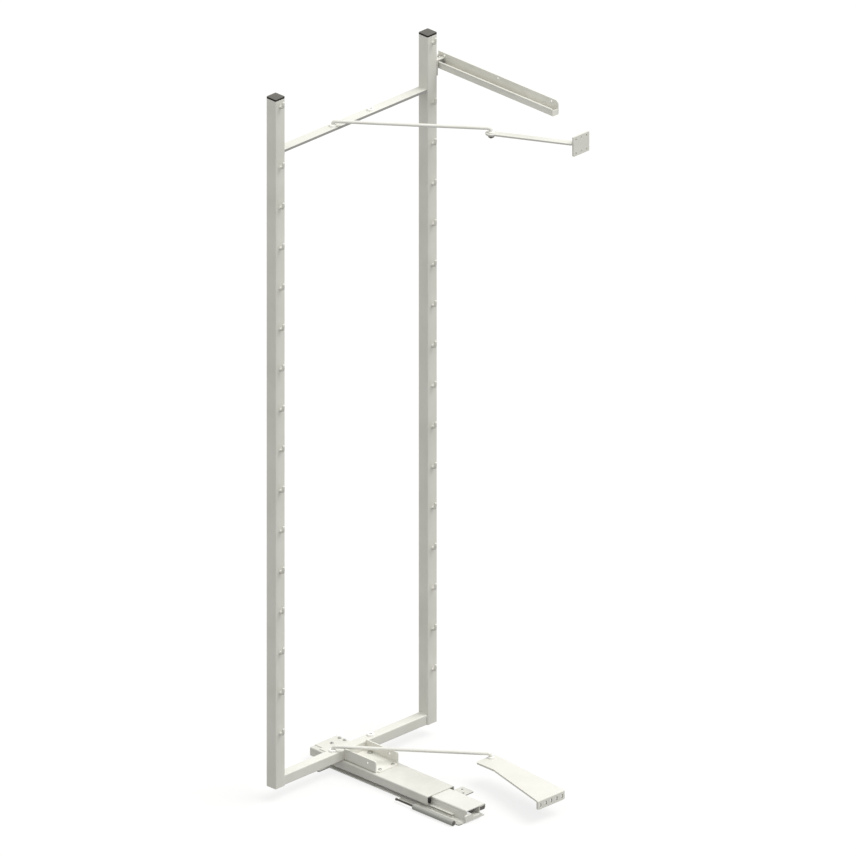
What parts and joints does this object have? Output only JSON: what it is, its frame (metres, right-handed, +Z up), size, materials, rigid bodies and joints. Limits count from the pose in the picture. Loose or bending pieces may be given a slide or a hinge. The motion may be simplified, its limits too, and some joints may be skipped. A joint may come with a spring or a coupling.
{
  "type": "pull out pantry frame",
  "caption": "Tall pull-out frame for a pantry cupboard: two hooked posts on a ball-bearing floor slide, with a top guide channel and bent draw rods whose arms screw to the door.",
  "frame": {"origin": "on the cupboard floor, under the middle of the two posts", "axes": "+X to the right seen from the door, +Y to the back of the cupboard, +Z up along the posts"},
  "size_m": [0.557, 0.605, 1.736],
  "materials": {
    "frame_paint": "warm pale grey powder coat, satin",
    "rod_paint": "pale grey powder coat, satin",
    "slide_steel": "pale grey coating on folded sheet, satin",
    "cage_steel": "pressed bright strip",
    "ball_steel": "polished",
    "screw_steel": "zinc plated",
    "dark_nut": "dark oxide",
    "cap_plastic": "fine grain",
    "white_plastic": "smooth moulding",
    "damper_plastic": "smooth moulding",
    "black_plastic": "smooth moulding"
  },
  "bodies": {
    "base": {"base_rail": "slide_steel", "rail_web": "slide_steel", "front_end_cap": "white_plastic", "side_runner": "white_plastic", "track_stop": "cap_plastic", "damper_cylinder": "damper_plastic", "damper_gland": "damper_plastic", "damper_cradles": "damper_plastic", "top_channel": "frame_paint"},
    "damper_piston": {"damper_plunger": "dark_nut", "damper_tip": "cap_plastic"},
    "ball_cages": {"left_ball_cage": "cage_steel", "left_balls": "ball_steel", "right_ball_cage": "cage_steel", "right_balls": "ball_steel"},
    "frame": {"slide_cover": "slide_steel", "front_buffer": "black_plastic", "left_post": "frame_paint", "left_post_cap": "cap_plastic", "left_hooks": "frame_paint", "right_post": "frame_paint", "right_post_cap": "cap_plastic", "right_hooks": "frame_paint", "lower_bar": "frame_paint", "upper_bar": "frame_paint", "lower_rod_bushes": "white_plastic", "upper_rod_bushes": "white_plastic", "foot_bracket": "frame_paint", "foot_screws": "screw_steel", "foot_bolts": "screw_steel", "rear_plate": "frame_paint", "rear_screws": "screw_steel", "guide_bracket": "frame_paint", "guide_glider": "black_plastic", "guide_screws": "screw_steel"},
    "upper_draw_rod": {"upper_rod": "rod_paint", "upper_rod_washer": "white_plastic", "upper_rod_nut": "dark_nut", "upper_rod_clip": "screw_steel"},
    "lower_draw_rod": {"lower_rod": "rod_paint", "lower_rod_washer": "white_plastic", "lower_rod_clips": "screw_steel"},
    "upper_door_arm": {"upper_arm": "frame_paint", "upper_door_plate": "frame_paint"},
    "lower_door_arm": {"lower_arm": "frame_paint"}
  },
  "joints": [
    {"name": "frame_pull_out", "type": "slide", "parent": "base", "child": "frame", "axis": [0, -1, 0], "range_m": [0, 0.35]},
    {"name": "ball_cage_travel", "type": "slide", "parent": "base", "child": "ball_cages", "axis": [0, -1, 0], "range_m": [0, 0.175]},
    {"name": "damper_stroke", "type": "slide", "parent": "base", "child": "damper_piston", "axis": [0, -1, 0], "range_m": [0, 0.045]},
    {"name": "upper_rod_swing", "type": "hinge", "parent": "frame", "child": "upper_draw_rod", "pos_m": [-0.06, 0, 1.614], "axis": [0, 0, 1], "range_deg": [-30, 25]},
    {"name": "lower_rod_swing", "type": "hinge", "parent": "frame", "child": "lower_draw_rod", "pos_m": [-0.06, 0, 0.068], "axis": [0, 0, 1], "range_deg": [-30, 25]},
    {"name": "upper_arm_swing", "type": "hinge", "parent": "upper_draw_rod", "child": "upper_door_arm", "pos_m": [0.16418, -0.27783, 1.6], "axis": [0, 0, 1], "range_deg": [-20, 110]},
    {"name": "lower_arm_swing", "type": "hinge", "parent": "lower_draw_rod", "child": "lower_door_arm", "pos_m": [0.16418, -0.27783, 0.055], "axis": [0, 0, 1], "range_deg": [-20, 110]}
  ],
  "couplings": [
    {"joint": "ball_cage_travel", "follows": "frame_pull_out", "ratio": 0.5}
  ]
}
